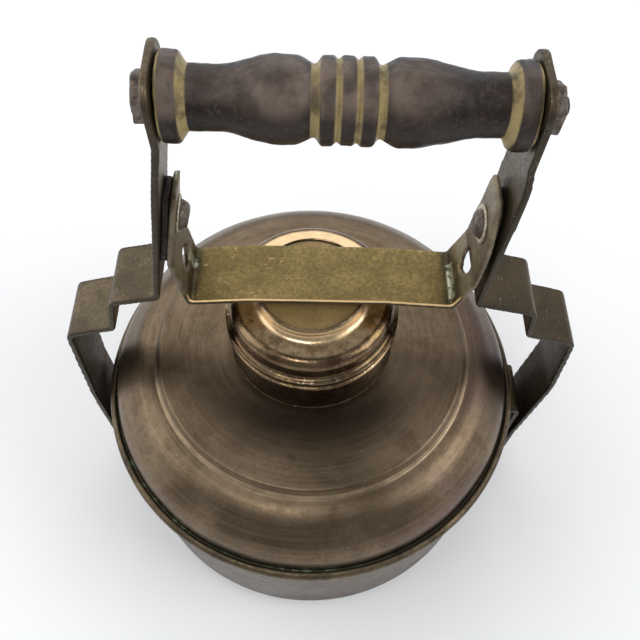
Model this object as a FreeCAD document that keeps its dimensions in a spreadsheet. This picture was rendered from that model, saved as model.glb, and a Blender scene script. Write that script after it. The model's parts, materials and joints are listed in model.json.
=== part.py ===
"""Spirit burner: a round spun reservoir with a screw cap, carried by a hinged bail with a turned grip.

Frame: millimetres, +Z up, origin at the centre of the flat base. The bail swings about the X axis
of two pins low on the reservoir's sides, and the grip lies nearly along X above the cap.
"""
import FreeCAD
import Part
import os
import math
import Sketcher

doc = FreeCAD.newDocument("spirit_burner")

# ---------------------------------------------------------------------------------------------
# Driving sizes. Heights are above the base. "left" is -X and "right" is +X.
# ---------------------------------------------------------------------------------------------
SIZES = {
    # reservoir shells
    "shell_wall": 1.0,
    "rim_height": 66.0,
    "rim_radius": 75.0,
    "bowl_radius": 72.4,
    "bowl_corner": 9.0,
    "flange_radius": 73.7,
    "flange_thickness": 0.8,
    "dome_foot_radius": 71.9,
    "dome_shoulder_radius": 72.4,
    "dome_shoulder_height": 79.5,
    "dome_step_outer": 54.9,
    "dome_step_low": 87.6,
    "dome_step_inner": 52.7,
    "dome_step_high": 90.6,
    "dome_crown_radius": 28.6,
    "dome_crown_height": 95.0,
    # filler neck, wick and wick holder
    "neck_bore": 21.4,
    "neck_collar_radius": 27.0,
    "neck_collar_top": 108.6,
    "spout_radius": 23.0,
    "spout_crest": 0.6,
    "spout_top": 116.4,
    "spigot_radius": 24.0,
    "spigot_length": 3.0,
    "thread_pitch": 1.8,
    "wick_plate_height": 110.0,
    "wick_plate_thickness": 1.6,
    "wick_tube_radius": 6.1,
    "wick_tube_wall": 0.8,
    "wick_tube_bottom": 100.0,
    "wick_tube_top": 114.6,
    "wick_radius": 5.2,
    "wick_bottom": 6.0,
    "wick_top": 115.6,
    # screw cap
    "cap_top": 127.9,
    "cap_rim_radius": 17.2,
    "cap_disc_radius": 16.4,
    "cap_disc_drop": 0.5,
    "cap_disc_thickness": 0.9,
    "cap_wall": 1.1,
    "cap_cove_height": 124.0,
    "cap_shoulder_radius": 26.4,
    "cap_shoulder_height": 122.6,
    "cap_bead_radius": 27.8,
    "cap_skirt_radius": 26.8,
    "cap_skirt_bottom": 109.0,
    "cap_thread_bore": 23.9,
    "cap_thread_bottom": 110.2,
    "cap_thread_top": 115.6,
    "gasket_radius": 22.2,
    "gasket_thickness": 1.5,
    "gasket_gap": 0.1,
    # bail straps, one flat strip a side; each bend of the inner face is given as out and up
    "strap_width": 20.2,
    "strap_thickness": 1.8,
    "strap_bend": 2.4,
    "strap_sweep": 30.0,
    "tab_bend": 14.0,
    "tab_corner": 6.0,
    "foot_height": 17.0,
    "pivot_pin_radius": 2.5,
    "pivot_clearance": 0.08,
    "left_tab_out": 32.9,
    "left_tab_up": 193.0,
    "left_lean_out": 35.6,
    "left_lean_up": 180.0,
    "left_bend_out": 43.9,
    "left_bend_up": 132.7,
    "left_riser_out": 58.0,
    "left_riser_up": 129.2,
    "left_shelf_out": 61.0,
    "left_shelf_up": 114.7,
    "left_leg_out": 76.0,
    "left_leg_up": 110.0,
    "left_belly_out": 79.6,
    "left_belly_up": 66.0,
    "left_foot_out": 80.0,
    "left_foot_up": 34.0,
    "right_tab_out": 47.8,
    "right_tab_up": 189.0,
    "right_lean_out": 49.0,
    "right_lean_up": 180.0,
    "right_bend_out": 47.5,
    "right_bend_up": 131.4,
    "right_riser_out": 65.7,
    "right_riser_up": 126.2,
    "right_shelf_out": 67.2,
    "right_shelf_up": 113.4,
    "right_leg_out": 82.8,
    "right_leg_up": 108.1,
    "right_belly_out": 85.6,
    "right_belly_up": 76.0,
    "right_foot_out": 82.4,
    "right_foot_up": 32.0,
    # crossbar with an upturned ear at each end
    "cross_width": 20.0,
    "cross_thickness": 1.6,
    "cross_bend": 0.8,
    "cross_arch": 40.0,
    "left_cross_end": 131.8,
    "left_arch_out": 18.0,
    "left_arch_up": 133.4,
    "right_arch_out": 22.0,
    "right_arch_up": 132.9,
    "right_cross_end": 131.0,
    "left_ear_gap": 2.1,
    "right_ear_gap": 1.3,
    "ear_top": 171.4,
    "ear_top_half": 5.4,
    "ear_back_knee": 141.0,
    "ear_front_knee": 157.0,
    "left_ear_foot": 35.2,
    "left_ear_knee": 150.0,
    "right_ear_foot": 40.9,
    "right_ear_knee": 142.0,
    "ear_knee_bend": 6.0,
    "spare_hole_radius": 3.8,
    "left_spare_height": 140.2,
    "right_spare_height": 140.2,
    # rivets that hold the ears to the straps
    "rivet_radius": 2.0,
    "rivet_head_radius": 4.2,
    "left_rivet_head": 2.4,
    "right_rivet_head": 1.6,
    "rivet_fit": 0.15,
    "washer_radius": 5.3,
    "washer_thickness": 0.6,
    "left_rivet_height": 160.0,
    "right_rivet_height": 157.4,
    "spacer_play": 0.1,
    "spacer_up": 10.0,
    "spacer_down": 11.0,
    "spacer_top_half": 4.8,
    "spacer_low_half": 9.2,
    # grip and its through bolt, which drops a little towards the nut
    "left_bolt_height": 199.5,
    "right_bolt_height": 198.0,
    "bolt_radius": 2.4,
    "bolt_hole": 2.7,
    "bolt_head_radius": 6.0,
    "bolt_head_height": 3.2,
    "bolt_seat": 0.3,
    "nut_height": 3.6,
    "bolt_tip": 1.6,
    "grip_play": 0.4,
    "grip_clearance": 0.08,
    "grip_flange_radius": 9.7,
    "grip_waist_radius": 6.95,
    "grip_belly_radius": 9.4,
    "grip_ring_radius": 9.4,
    "grip_groove_radius": 8.6,
    "grip_side_groove": 7.5,
    "grip_flange_width": 3.9,
    # side brackets, each an angle strip that carries a pivot pin near the base
    "bracket_width": 20.2,
    "bracket_thickness": 1.8,
    "bracket_bend": 0.8,
    "bracket_top": 55.0,
    "bracket_bottom": 7.5,
    "left_bracket_out": 77.8,
    "right_bracket_out": 80.8,
    "collar_radius": 4.6,
    "collar_gap": 0.3,
    "pin_tail": 1.0,
    "pin_head_gap": 0.3,
    "pin_head_radius": 5.2,
    "pin_head_height": 2.4,
}

sheet = doc.addObject("Spreadsheet::Sheet", "Sizes")
for row, (alias, number) in enumerate(SIZES.items(), start=1):
    sheet.set(f"A{row}", alias)
    sheet.set(f"B{row}", str(number))
    sheet.setAlias(f"B{row}", alias)
doc.recompute()


class Size:
    """A length that carries its number and the sheet expression that drives it."""

    def __init__(self, number, text):
        self.number = number
        self.text = text

    def _join(self, other, sign, number):
        other_text = other.text if isinstance(other, Size) else repr(other)
        return Size(number, f"({self.text} {sign} {other_text})")

    def __add__(self, other):
        return self._join(other, "+", self.number + number_of(other))

    def __sub__(self, other):
        return self._join(other, "-", self.number - number_of(other))

    def __mul__(self, other):
        return self._join(other, "*", self.number * number_of(other))

    def __truediv__(self, other):
        return self._join(other, "/", self.number / number_of(other))

    def __neg__(self):
        return Size(-self.number, f"(0 - {self.text})")


def number_of(value):
    return value.number if isinstance(value, Size) else value


def size(alias):
    return Size(sheet.get(alias), f"Sizes.{alias}")


def bind(thing, path, value):
    """Set a property from a Size, or leave a plain zero as it is."""
    if isinstance(value, Size):
        thing.setExpression(path, value.text)


ZERO = 0.0
HALF_TURN = FreeCAD.Placement(FreeCAD.Vector(), FreeCAD.Rotation(FreeCAD.Vector(0, 0, 1), 180))
WALL = size("shell_wall")
RIM_Z = size("rim_height")
PIVOT_Z = size("foot_height")
STRAP_T = size("strap_thickness")
CROSS_T = size("cross_thickness")
NODES = {}


# ---------------------------------------------------------------------------------------------
# Sketching: an outline is a list of corners (x, y, rounding radius)
# ---------------------------------------------------------------------------------------------
def corner_arc(before, at, after, radius):
    """Tangent points and the middle of the arc that rounds a corner."""
    to_before = (before - at).normalize()
    to_after = (after - at).normalize()
    half = to_before.getAngle(to_after) / 2.0
    reach = radius / math.tan(half)
    if reach >= min((before - at).Length, (after - at).Length):
        raise ValueError(f"corner {at} can't hold a radius of {radius}")
    bisector = (to_before + to_after).normalize()
    centre = at + bisector * (radius / math.sin(half))
    middle = centre - bisector * radius
    return at + to_before * reach, middle, at + to_after * reach


def pin_point(sketch, geometry, vertex, x, y):
    """Hold a vertex at a sheet-driven place from the sketch's origin."""
    for kind, axis, value in (("DistanceX", -2, x), ("DistanceY", -1, y)):
        number = number_of(value)
        if abs(number) < 1e-9:
            sketch.addConstraint(Sketcher.Constraint("PointOnObject", geometry, vertex, axis))
            continue
        if number > 0:
            index = sketch.addConstraint(Sketcher.Constraint(kind, -1, 1, geometry, vertex, number))
            text = value.text
        else:
            index = sketch.addConstraint(Sketcher.Constraint(kind, geometry, vertex, -1, 1, -number))
            text = (-value).text
        sketch.setExpression(f"Constraints[{index}]", text)


def draw(sketch, corners, closed=True):
    """Draw the outline with straight runs and tangent arcs, each size bound to the sheet."""
    places = [FreeCAD.Vector(number_of(x), number_of(y), 0) for x, y, _ in corners]
    count = len(corners)
    starts = list(places)
    ends = list(places)
    arcs = {}
    for index, (_, _, radius) in enumerate(corners):
        inner = closed or 0 < index < count - 1
        if not inner or number_of(radius) == 0:
            continue
        before = places[index - 1]
        after = places[(index + 1) % count]
        entry, middle, leave = corner_arc(before, places[index], after, number_of(radius))
        ends[index] = entry
        starts[index] = leave
        arcs[index] = sketch.addGeometry(Part.Arc(entry, middle, leave), False)
    spans = count if closed else count - 1
    lines = []
    for index in range(spans):
        line = Part.LineSegment(starts[index], ends[(index + 1) % count])
        lines.append(sketch.addGeometry(line, False))
    for index, (x, y, radius) in enumerate(corners):
        incoming = lines[index - 1] if closed or index > 0 else None
        outgoing = lines[index] if index < spans else None
        if index in arcs:
            arc = arcs[index]
            mark = sketch.addGeometry(Part.Point(places[index]), True)
            entry_vertex = 1 if vertex_at(sketch, arc, 1, ends[index]) else 2
            sketch.addConstraint(Sketcher.Constraint("Tangent", incoming, 2, arc, entry_vertex))
            sketch.addConstraint(Sketcher.Constraint("Tangent", outgoing, 1, arc, 3 - entry_vertex))
            sketch.addConstraint(Sketcher.Constraint("PointOnObject", mark, 1, incoming))
            sketch.addConstraint(Sketcher.Constraint("PointOnObject", mark, 1, outgoing))
            rounding = sketch.addConstraint(Sketcher.Constraint("Radius", arc, number_of(radius)))
            if isinstance(radius, Size):
                sketch.setExpression(f"Constraints[{rounding}]", radius.text)
            pin_point(sketch, mark, 1, x, y)
        else:
            if incoming is not None and outgoing is not None:
                sketch.addConstraint(Sketcher.Constraint("Coincident", incoming, 2, outgoing, 1))
            held, vertex = (outgoing, 1) if outgoing is not None else (incoming, 2)
            pin_point(sketch, held, vertex, x, y)


def vertex_at(sketch, geometry, vertex, place):
    return sketch.getPoint(geometry, vertex).distanceToPoint(place) < 1e-6


def origin_plane(body, role):
    return next(item for item in body.Origin.OriginFeatures if item.Role == role)


# ---------------------------------------------------------------------------------------------
# Builders for the kinds of piece the burner is made of
# ---------------------------------------------------------------------------------------------
def turned(label, corners):
    """A spun or lathe-turned piece: one outline (radius, height) turned about the Z axis."""
    body = doc.addObject("PartDesign::Body", label)
    body.Label = label
    sketch = body.newObject("Sketcher::SketchObject", f"{label}_outline")
    sketch.AttachmentSupport = [(origin_plane(body, "XZ_Plane"), "")]
    sketch.MapMode = "FlatFace"
    draw(sketch, corners)
    turn = body.newObject("PartDesign::Revolution", f"{label}_turn")
    turn.Profile = sketch
    turn.ReferenceAxis = (sketch, ["V_Axis"])
    turn.Angle = 360.0
    NODES[label] = body
    return body


def free_sketch(name, corners, closed, plane):
    """A sketch in one of the origin planes that no body owns."""
    sketch = doc.addObject("Sketcher::SketchObject", name)
    upright = FreeCAD.Rotation(FreeCAD.Vector(1, 0, 0), 90)
    turns = {
        "XY": FreeCAD.Rotation(),
        "XZ": upright,
        "YZ": FreeCAD.Rotation(FreeCAD.Vector(0, 0, 1), 90).multiply(upright),
    }
    sketch.Placement = FreeCAD.Placement(FreeCAD.Vector(), turns[plane])
    draw(sketch, corners, closed)
    return sketch


def extruded(name, base, direction, length):
    """A prism on both sides of its base."""
    prism = doc.addObject("Part::Extrusion", name)
    prism.Base = base
    prism.DirMode = "Custom"
    prism.Dir = direction
    prism.Solid = True
    prism.Symmetric = True
    prism.setExpression("LengthFwd", length.text)
    return prism


def bent_strip(name, path, thickness, width, side):
    """A flat strip: its inner face follows the path, and its metal lies on the given side."""
    sketch = free_sketch(f"{name}_path", path, False, "XZ")
    section = doc.addObject("Part::Offset2D", f"{name}_section")
    section.Source = sketch
    section.setExpression("Value", (thickness * side).text)
    section.Fill = True
    section.Join = "Intersection"
    section.Mode = "Skin"
    return extruded(f"{name}_strip", section, FreeCAD.Vector(0, 1, 0), width)


def on_side(thing, side, x, z, lean=ZERO):
    """Lay a Z-axis piece along +X from (x, z), leaning as its strap does; left is turned about Z."""
    half_turn = 180 if side == "left" else 0
    about_z = FreeCAD.Rotation(FreeCAD.Vector(0, 0, 1), half_turn)
    lay_down = FreeCAD.Rotation(FreeCAD.Vector(0, 1, 0), 90 + number_of(lean))
    place = about_z.multVec(FreeCAD.Vector(number_of(x), 0, number_of(z)))
    thing.Placement = FreeCAD.Placement(place, about_z.multiply(lay_down))


def step_on(thing, distance):
    """Move a piece along its own Z axis."""
    step = FreeCAD.Placement(FreeCAD.Vector(0, 0, distance.number), FreeCAD.Rotation())
    thing.Placement = thing.Placement.multiply(step)


def rod(name, radius, length):
    """A plain round rod, used as a drill or as a shank."""
    cylinder = doc.addObject("Part::Cylinder", name)
    bind(cylinder, "Radius", radius)
    bind(cylinder, "Height", length)
    return cylinder


def drill(name, radius, side, x, z, lean=ZERO):
    """A rod that cuts a hole through a strap near (x, z), across its sheet."""
    cutter = rod(name, radius, STRAP_T * 8)
    on_side(cutter, side, x, z, lean)
    step_on(cutter, -STRAP_T * 4)
    return cutter


def cut_all(label, blank, tools):
    """The blank with every tool cut out of it."""
    joined = tools[0]
    if len(tools) > 1:
        joined = doc.addObject("Part::MultiFuse", f"{label}_tools")
        joined.Shapes = tools
    piece = doc.addObject("Part::Cut", label)
    piece.Base = blank
    piece.Tool = joined
    piece.Label = label
    NODES[label] = piece
    return piece


def common(name, first, second):
    both = doc.addObject("Part::Common", name)
    both.Base = first
    both.Tool = second
    return both


# ---------------------------------------------------------------------------------------------
# Reservoir: spun bowl and dome, their flanges folded into a rolled rim
# ---------------------------------------------------------------------------------------------
def make_bowl():
    outer = size("bowl_radius")
    corner = size("bowl_corner")
    flange = size("flange_radius")
    lip = RIM_Z - size("flange_thickness")
    corners = [
        (ZERO, ZERO, 0),
        (outer, ZERO, corner),
        (outer, lip, 0),
        (flange, lip, 0),
        (flange, RIM_Z, 0),
        (outer - WALL, RIM_Z, 0),
        (outer - WALL, WALL, corner - WALL),
        (ZERO, WALL, 0),
    ]
    turned("reservoir_bowl", corners)


def make_dome():
    """Dome outline from the rim flange over the shoulder and ring step to the neck seat."""
    foot = size("dome_foot_radius")
    shoulder = size("dome_shoulder_radius")
    shoulder_z = size("dome_shoulder_height")
    step_out = size("dome_step_outer")
    step_low = size("dome_step_low")
    step_in = size("dome_step_inner")
    step_high = size("dome_step_high")
    crown = size("dome_crown_radius")
    crown_z = size("dome_crown_height")
    hole = size("spigot_radius")
    flange = size("flange_radius")
    seat = RIM_Z + 0.05
    lip = seat + size("flange_thickness")
    corners = [
        (foot - WALL, seat, 0),
        (flange, seat, 0),
        (flange, lip, 0),
        (foot, lip, 0),
        (shoulder - 1.6, shoulder_z - 3.6, 14.0),
        (step_out + 6.0, step_low - 1.4, 14.0),
        (step_out, step_low, 0.9),
        (step_in, step_high, 1.2),
        (crown, crown_z, 6.0),
        (hole, crown_z, 0),
        (hole, crown_z - WALL, 0),
        (crown, crown_z - WALL, 6.0),
        (step_in - 0.6, step_high - WALL, 1.2),
        (step_out - 0.6, step_low - WALL, 0.9),
        (step_out + 5.6, step_low - WALL - 1.4, 13.0),
        (shoulder - 2.6, shoulder_z - 4.2, 13.0),
    ]
    turned("reservoir_dome", corners)


def make_rim():
    """Rolled rim ring: a half-round bead with a slot that grips both flanges."""
    outer = size("rim_radius")
    slot = size("flange_radius") + 0.1
    grip = slot - 1.1
    top = RIM_Z + 2.0
    bottom = RIM_Z - 2.1
    slot_top = RIM_Z + size("flange_thickness") + 0.1
    slot_bottom = RIM_Z - size("flange_thickness") - 0.05
    corners = [
        (grip, slot_top, 0),
        (slot, slot_top, 0),
        (slot, slot_bottom, 0),
        (grip, slot_bottom, 0),
        (grip, bottom, 0.3),
        (outer, bottom, 1.8),
        (outer, top, 1.8),
        (grip, top, 0.3),
    ]
    turned("rim_seam", corners)


# ---------------------------------------------------------------------------------------------
# Filler neck with its screw thread, and the wick in its drop-in holder
# ---------------------------------------------------------------------------------------------
def make_neck():
    bore = size("neck_bore")
    collar = size("neck_collar_radius")
    collar_top = size("neck_collar_top")
    spout = size("spout_radius")
    spout_top = size("spout_top")
    crest = size("spout_crest")
    pitch = size("thread_pitch")
    spigot = size("spigot_radius") - 0.05
    seat = size("dome_crown_height")
    corners = [
        (bore, seat - size("spigot_length"), 0),
        (spigot, seat - size("spigot_length"), 0),
        (spigot, seat, 0),
        (collar, seat, 0),
        (collar, collar_top, 0.5),
        (spout, collar_top, 0),
    ]
    for ridge in range(3):
        root = collar_top + pitch * ridge + 2.0
        corners.append((spout, root, 0))
        corners.append((spout + crest, root + pitch * 0.5, 0.15))
        corners.append((spout, root + pitch * 0.95, 0))
    corners.append((spout, spout_top, 0.4))
    corners.append((bore, spout_top, 0.4))
    turned("filler_neck", corners)


def make_wick_parts():
    plate_z = size("wick_plate_height")
    plate_top = plate_z + size("wick_plate_thickness")
    tube = size("wick_tube_radius")
    tube_bore = tube - size("wick_tube_wall")
    tube_low = size("wick_tube_bottom")
    tube_top = size("wick_tube_top")
    bore = size("neck_bore") - 0.05
    wick = size("wick_radius")
    turned("wick_plate", [
        (tube, plate_z, 0),
        (bore, plate_z, 0),
        (bore, plate_top, 0.3),
        (tube, plate_top, 0),
    ])
    turned("wick_tube", [
        (tube_bore, tube_low, 0),
        (tube - 0.02, tube_low, 0),
        (tube - 0.02, tube_top, 0.2),
        (tube_bore, tube_top, 0.2),
    ])
    turned("wick", [
        (ZERO, size("wick_bottom"), 0),
        (wick, size("wick_bottom"), 1.0),
        (wick, size("wick_top"), 1.4),
        (ZERO, size("wick_top"), 0),
    ])


# ---------------------------------------------------------------------------------------------
# Screw cap: spun shell, inset disc, threaded ring and gasket
# ---------------------------------------------------------------------------------------------
def make_cap():
    top = size("cap_top")
    rim = size("cap_rim_radius")
    disc = size("cap_disc_radius") + 0.02
    disc_low = top - size("cap_disc_drop") - size("cap_disc_thickness")
    wall = size("cap_wall")
    cove_z = size("cap_cove_height")
    shoulder = size("cap_shoulder_radius")
    shoulder_z = size("cap_shoulder_height")
    bead = size("cap_bead_radius")
    skirt = size("cap_skirt_radius")
    low = size("cap_skirt_bottom")
    neck_in = size("cap_shoulder_radius") - 0.5
    corners = [
        (disc - 2.6, disc_low - wall, 0),
        (disc - 2.6, disc_low, 0),
        (disc, disc_low, 0),
        (disc, top, 0.25),
        (rim, top, 0.45),
        (rim, cove_z, 2.6),
        (shoulder, shoulder_z, 3.6),
        (neck_in, low + 6.5, 1.0),
        (skirt, low + 6.0, 0),
        (bead, low + 5.7, 0.5),
        (bead, low + 4.3, 0.5),
        (skirt + 0.3, low + 3.6, 0.2),
        (skirt + 0.3, low + 2.3, 0.2),
        (bead, low + 1.9, 0.4),
        (bead, low + 0.5, 0.4),
        (skirt, low, 0),
        (skirt - wall, low, 0),
        (skirt - wall, low + 4.6, 0),
        (neck_in - wall, low + 5.2, 0),
        (shoulder - wall - 0.2, shoulder_z - wall - 0.4, 2.6),
        (rim - 0.9, cove_z - wall, 2.0),
        (rim - 0.9, disc_low - wall, 0),
    ]
    turned("cap_shell", corners)
    turned("cap_disc", [
        (ZERO, disc_low, 0),
        (disc - 0.02, disc_low, 0),
        (disc - 0.02, disc_low + size("cap_disc_thickness"), 0.2),
        (ZERO, disc_low + size("cap_disc_thickness"), 0),
    ])
    ring_low = size("cap_thread_bottom")
    ring_top = size("cap_thread_top")
    ring_bore = size("cap_thread_bore")
    turned("cap_thread_ring", [
        (ring_bore, ring_low, 0.2),
        (neck_in - wall, ring_low, 0),
        (neck_in - wall, ring_top, 0),
        (ring_bore, ring_top, 0.2),
    ])
    gasket_low = size("spout_top") + size("gasket_gap")
    turned("cap_gasket", [
        (ZERO, gasket_low, 0),
        (size("gasket_radius"), gasket_low, 0.3),
        (size("gasket_radius"), gasket_low + size("gasket_thickness"), 0.3),
        (ZERO, gasket_low + size("gasket_thickness"), 0),
    ])


# ---------------------------------------------------------------------------------------------
# Bail: two stepped straps, the riveted crossbar between them and the grip on its through bolt
# ---------------------------------------------------------------------------------------------
def strap_inner(side, height):
    """How far from the YZ plane the leaning run of a strap's inner face is at a height."""
    low = size(f"{side}_bend_out")
    low_z = size(f"{side}_bend_up")
    high = size(f"{side}_lean_out")
    high_z = size(f"{side}_lean_up")
    return low + (high - low) * (height - low_z) / (high_z - low_z)


def lean(run, rise):
    """Angle in degrees of a slope away from the direction of its rise."""
    number = math.degrees(math.atan(run.number / rise.number))
    return Size(number, f"(atan({run.text} / {rise.text}) / 1deg)")


def strap_lean(side):
    """How far the strap leans outward from bottom to top."""
    return lean(size(f"{side}_lean_out") - size(f"{side}_bend_out"),
                size(f"{side}_lean_up") - size(f"{side}_bend_up"))


def make_strap(side):
    """One strap, drawn on the +X side; the left one is then turned half round about Z."""
    label = f"arm_{side}"
    width = size("strap_width")
    half = width / 2
    bolt_z = size(f"{side}_bolt_height")
    top = bolt_z + half
    bottom = PIVOT_Z - half
    bends = [("tab", "tab_bend"), ("lean", "strap_sweep")]
    bends += [(name, "strap_bend") for name in ("bend", "riser", "shelf", "leg")]
    bends += [("belly", "strap_sweep"), ("foot", "strap_sweep")]
    path = [(size(f"{side}_tab_out"), top, 0)]
    for name, rounding in bends:
        path.append((size(f"{side}_{name}_out"), size(f"{side}_{name}_up"), size(rounding)))
    path.append((size(f"{side}_foot_out"), bottom, 0))
    strip = bent_strip(label, path, STRAP_T, width, 1)
    corner = size("tab_corner")
    end = half - 0.05
    outline = free_sketch(f"{label}_outline", [
        (-half, bottom, end),
        (half, bottom, end),
        (half, top, corner),
        (-half, top, corner),
    ], True, "YZ")
    reach = size("rim_radius") * 4
    trimmed = common(f"{label}_trimmed", strip,
                     extruded(f"{label}_limits", outline, FreeCAD.Vector(1, 0, 0), reach))
    rivet_z = size(f"{side}_rivet_height")
    eye = size("pivot_pin_radius") + size("pivot_clearance")
    rivet_hole = size("rivet_radius") + size("rivet_fit")
    tools = [
        drill(f"{label}_bolt_hole", size("bolt_hole"), "right", size(f"{side}_tab_out"), bolt_z),
        drill(f"{label}_eye", eye, "right", size(f"{side}_foot_out"), PIVOT_Z),
        drill(f"{label}_rivet_hole", rivet_hole, "right",
              ear_inner(side, rivet_z), rivet_z, strap_lean(side)),
    ]
    piece = cut_all(label, trimmed, tools)
    if side == "left":
        piece.Placement = HALF_TURN


def ear_inner(side, height):
    """Inner face of a crossbar ear, which follows its strap with a spacer plate between them."""
    return strap_inner(side, height) - size(f"{side}_ear_gap") - CROSS_T


def make_crossbar():
    """Slightly arched bar over the cap: each end turns up, leans out and then follows its strap."""
    top = size("ear_top")
    bend = size("cross_bend")
    arch = size("cross_arch")
    knee_bend = size("ear_knee_bend")
    half = size("cross_width") / 2
    tip = size("ear_top_half")
    rising = []
    for side in ("left", "right"):
        knee = size(f"{side}_ear_knee")
        rising.append([
            (ear_inner(side, top), top, 0),
            (ear_inner(side, knee), knee, knee_bend),
            (size(f"{side}_ear_foot"), size(f"{side}_cross_end"), bend),
            (size(f"{side}_arch_out"), size(f"{side}_arch_up"), arch),
        ])
    left = [(-x, z, radius) for x, z, radius in rising[0]]
    strip = bent_strip("crossbar", left + rising[1][::-1], CROSS_T, size("cross_width"), -1)
    low = size("right_cross_end") - CROSS_T * 3
    outline = free_sketch("crossbar_outline", [
        (-half, low, 0),
        (half, low, 0),
        (half, size("ear_back_knee"), 8.0),
        (tip, top, 1.5),
        (-tip, top, 4.0),
        (-half, size("ear_front_knee"), 6.0),
    ], True, "YZ")
    reach = size("rim_radius") * 4
    trimmed = common("crossbar_trimmed", strip,
                     extruded("crossbar_limits", outline, FreeCAD.Vector(1, 0, 0), reach))
    tools = []
    for side in ("left", "right"):
        rivet_z = size(f"{side}_rivet_height")
        spare_z = size(f"{side}_spare_height")
        tools.append(drill(f"ear_rivet_hole_{side}", size("rivet_radius") + size("rivet_fit"), side,
                           ear_inner(side, rivet_z), rivet_z, strap_lean(side)))
        tools.append(drill(f"ear_spare_hole_{side}", size("spare_hole_radius"), side,
                           ear_inner(side, spare_z), spare_z))
    cut_all("crossbar", trimmed, tools)


def make_ear_rivet(side):
    """Rivet through ear and strap: a low domed head inside on its washer, a smaller one outside."""
    shank = size("rivet_radius")
    head = size("rivet_head_radius")
    seat = size("washer_thickness")
    dome = seat + size(f"{side}_rivet_head")
    through = CROSS_T + size(f"{side}_ear_gap") + STRAP_T
    closed_head = head * 0.85
    rivet = turned(f"ear_rivet_{side}", [
        (ZERO, -dome, 0),
        (head * 0.74, -dome, 1.2),
        (head, -seat, 0),
        (shank, -seat, 0),
        (shank, through, 0),
        (closed_head, through, 0),
        (closed_head, through + seat, 0.4),
        (ZERO, through + seat, 0),
    ])
    washer = turned(f"ear_washer_{side}", [
        (shank + size("rivet_fit"), -seat, 0),
        (size("washer_radius"), -seat, 0.2),
        (size("washer_radius"), ZERO, 0),
        (shank + size("rivet_fit"), ZERO, 0),
    ])
    height = size(f"{side}_rivet_height")
    for piece in (rivet, washer):
        on_side(piece, side, ear_inner(side, height), height, strap_lean(side))


def make_ear_spacer(side):
    """Packing plate between ear and strap, pierced by the rivet and tapered like the ear."""
    label = f"ear_spacer_{side}"
    high = -size("spacer_up")
    low = size("spacer_down")
    narrow = size("spacer_top_half")
    wide = size("spacer_low_half")
    outline = free_sketch(f"{label}_outline", [
        (high, -narrow, 2.5),
        (low, -wide, 2.0),
        (low, wide, 2.0),
        (high, narrow, 1.0),
    ], True, "XY")
    gap = size(f"{side}_ear_gap")
    blank = extruded(f"{label}_blank", outline, FreeCAD.Vector(0, 0, 1), gap - size("spacer_play") * 2)
    hole = rod(f"{label}_hole", size("rivet_radius") + size("rivet_fit"), STRAP_T * 4)
    step_on(hole, -STRAP_T * 2)
    spacer = cut_all(label, blank, [hole])
    height = size(f"{side}_rivet_height")
    on_side(spacer, side, ear_inner(side, height), height, strap_lean(side))
    step_on(spacer, CROSS_T + gap / 2)


def hexagon(name, radius, height):
    """A six-sided head with its corners rounded off by a ball."""
    prism = doc.addObject("Part::Prism", f"{name}_prism")
    prism.Polygon = 6
    bind(prism, "Circumradius", radius)
    bind(prism, "Height", height)
    ball = doc.addObject("Part::Sphere", f"{name}_ball")
    bind(ball, "Radius", radius * 1.12)
    bind(ball, "Placement.Base.z", height * 0.25)
    return common(f"{name}_hexagon", prism, ball)


def bolt_height(out):
    """Height of the bolt's sloping axis at a distance to the right of the YZ plane."""
    left = size("left_tab_out")
    fall = size("left_bolt_height") - size("right_bolt_height")
    return size("left_bolt_height") - fall * (left + out) / (left + size("right_tab_out"))


def bolt_lean():
    """How far the bolt's axis drops towards its nut, as an angle."""
    return lean(size("left_bolt_height") - size("right_bolt_height"),
                size("left_tab_out") + size("right_tab_out"))


def make_bolt_and_nut():
    """Through bolt of the grip: head on the left strap, nut on the right one."""
    seat = STRAP_T + size("bolt_seat")
    left_face = size("left_tab_out") + seat
    right_face = size("right_tab_out") + seat
    head = hexagon("bolt_head", size("bolt_head_radius"), size("bolt_head_height"))
    on_side(head, "left", left_face, bolt_height(-left_face), -bolt_lean())
    length = left_face + right_face + size("nut_height") + size("bolt_tip")
    shank = rod("bolt_shank", size("bolt_radius"), length)
    on_side(shank, "right", -left_face, bolt_height(-left_face), bolt_lean())
    bolt = doc.addObject("Part::Fuse", "handle_bolt")
    bolt.Base = head
    bolt.Tool = shank
    bolt.Label = "handle_bolt"
    NODES["handle_bolt"] = bolt
    blank = hexagon("nut_blank", size("bolt_head_radius"), size("nut_height"))
    bore = rod("nut_bore", size("bolt_radius"), size("nut_height"))
    nut = cut_all("handle_nut", blank, [bore])
    on_side(nut, "right", right_face, bolt_height(right_face), bolt_lean())


def make_grip():
    """Turned grip: end flanges, waists, two bellies and three rings about its middle."""
    play = size("grip_play")
    left = size("left_tab_out")
    length = left + size("right_tab_out") - play * 2
    middle = length / 2
    flange = size("grip_flange_radius")
    waist = size("grip_waist_radius")
    belly = size("grip_belly_radius")
    ring = size("grip_ring_radius")
    groove = size("grip_groove_radius")
    side_groove = size("grip_side_groove")
    half = [
        (flange, ZERO, 0.4),
        (flange, size("grip_flange_width"), 0.8),
        (waist, size("grip_flange_width") + 1.6, 0.8),
        (waist, middle - 27.0, 18.0),
        (belly, middle - 16.0, 12.0),
        (belly, middle - 11.0, 4.0),
        (side_groove, middle - 7.0, 0.8),
        (ring, middle - 5.5, 0.8),
        (ring, middle - 3.2, 0.8),
        (groove, middle - 2.15, 0.3),
        (ring, middle - 1.1, 0.8),
    ]
    mirrored = [(radius, length - place, rounding) for radius, place, rounding in half[::-1]]
    bore = size("bolt_radius") + size("grip_clearance")
    grip = turned("grip", [(bore, ZERO, 0)] + half + mirrored + [(bore, length, 0)])
    on_side(grip, "right", play - left, bolt_height(play - left), bolt_lean())


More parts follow.
